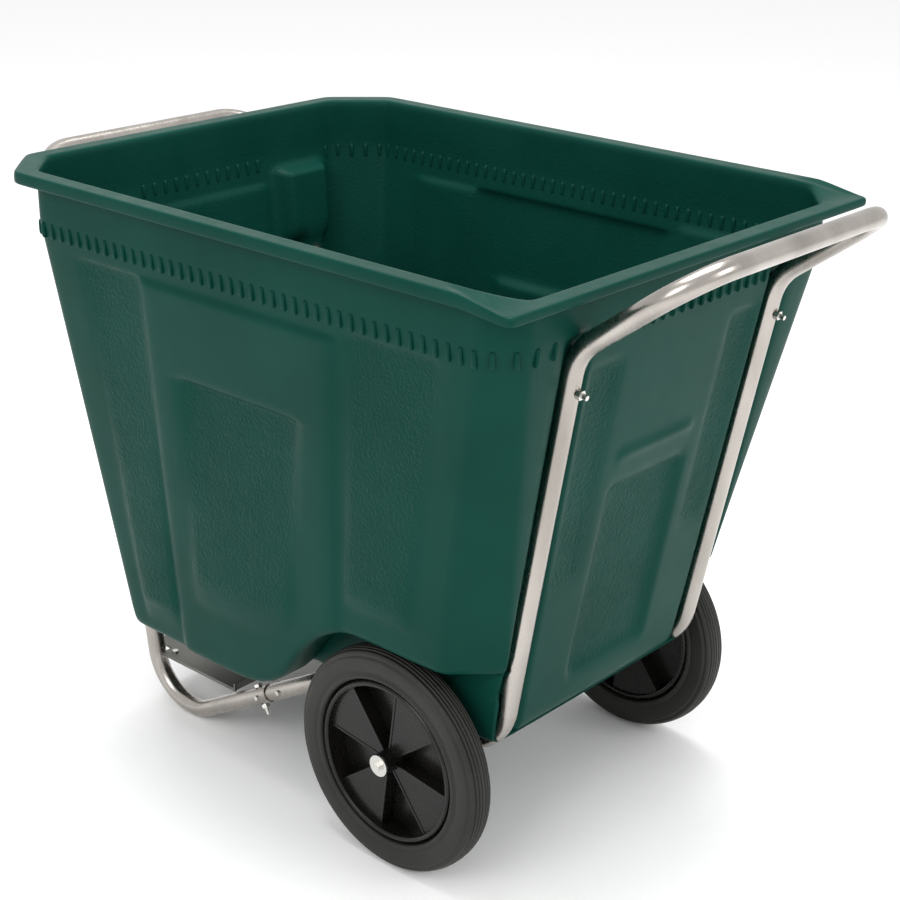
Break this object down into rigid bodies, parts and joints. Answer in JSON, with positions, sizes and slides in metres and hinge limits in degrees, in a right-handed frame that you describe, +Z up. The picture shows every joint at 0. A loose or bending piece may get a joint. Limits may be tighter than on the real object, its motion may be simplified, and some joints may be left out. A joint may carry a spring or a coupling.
{
  "type": "two-wheeled waste cart",
  "caption": "Large tapered green plastic tub on bent steel tube frames, with a rear push grip, a front lift bar, foot loops and two solid-tyred wheels.",
  "frame": {"origin": "on the ground, in the middle of the whole footprint", "axes": "+Z up, +Y towards the front lift bar, +X to the right seen from the rear grip"},
  "size_m": [0.706, 1.1548, 0.8642],
  "materials": {
    "tub_plastic": "dark green moulded polyethylene, smooth semi-gloss with pebbled panels",
    "tube_steel": "bright zinc-plated steel tube, satin",
    "plate_steel": "zinc-plated sheet",
    "bolt_zinc": "bright zinc plate",
    "tyre_rubber": "satin dark rubber",
    "hub_plastic": "glossy black moulding",
    "bush_plastic": "natural nylon"
  },
  "bodies": {
    "chassis": {"tub": "tub_plastic", "rear_handle_frame": "tube_steel", "front_frame": "tube_steel", "support_plate": "plate_steel", "plate_rivets": "bolt_zinc", "axle": "tube_steel", "left_axle_bracket": "plate_steel", "right_axle_bracket": "plate_steel", "axle_spacers": "bolt_zinc", "inner_hub_washers": "bolt_zinc", "axle_end_washers": "bolt_zinc", "axle_end_bolts": "bolt_zinc", "rear_leg_bolts": "bolt_zinc", "rear_leg_nuts": "bolt_zinc", "rear_leg_inner_washers": "bolt_zinc", "front_tube_bolts": "bolt_zinc", "front_tube_nuts": "bolt_zinc", "front_tube_inner_washers": "bolt_zinc", "joint_bolts": "bolt_zinc", "joint_nuts": "bolt_zinc", "joint_rivets": "bolt_zinc"},
    "left_wheel": {"left_tyre": "tyre_rubber", "left_wheel_hub": "hub_plastic", "left_hub_bushes": "bush_plastic"},
    "right_wheel": {"right_tyre": "tyre_rubber", "right_wheel_hub": "hub_plastic", "right_hub_bushes": "bush_plastic"}
  },
  "joints": [
    {"name": "left_wheel_spin", "type": "hinge", "parent": "chassis", "child": "left_wheel", "pos_m": [-0.25, -0.18325, 0.1524], "axis": [1, 0, 0], "continuous": true},
    {"name": "right_wheel_spin", "type": "hinge", "parent": "chassis", "child": "right_wheel", "pos_m": [0.25, -0.18325, 0.1524], "axis": [1, 0, 0], "continuous": true}
  ]
}
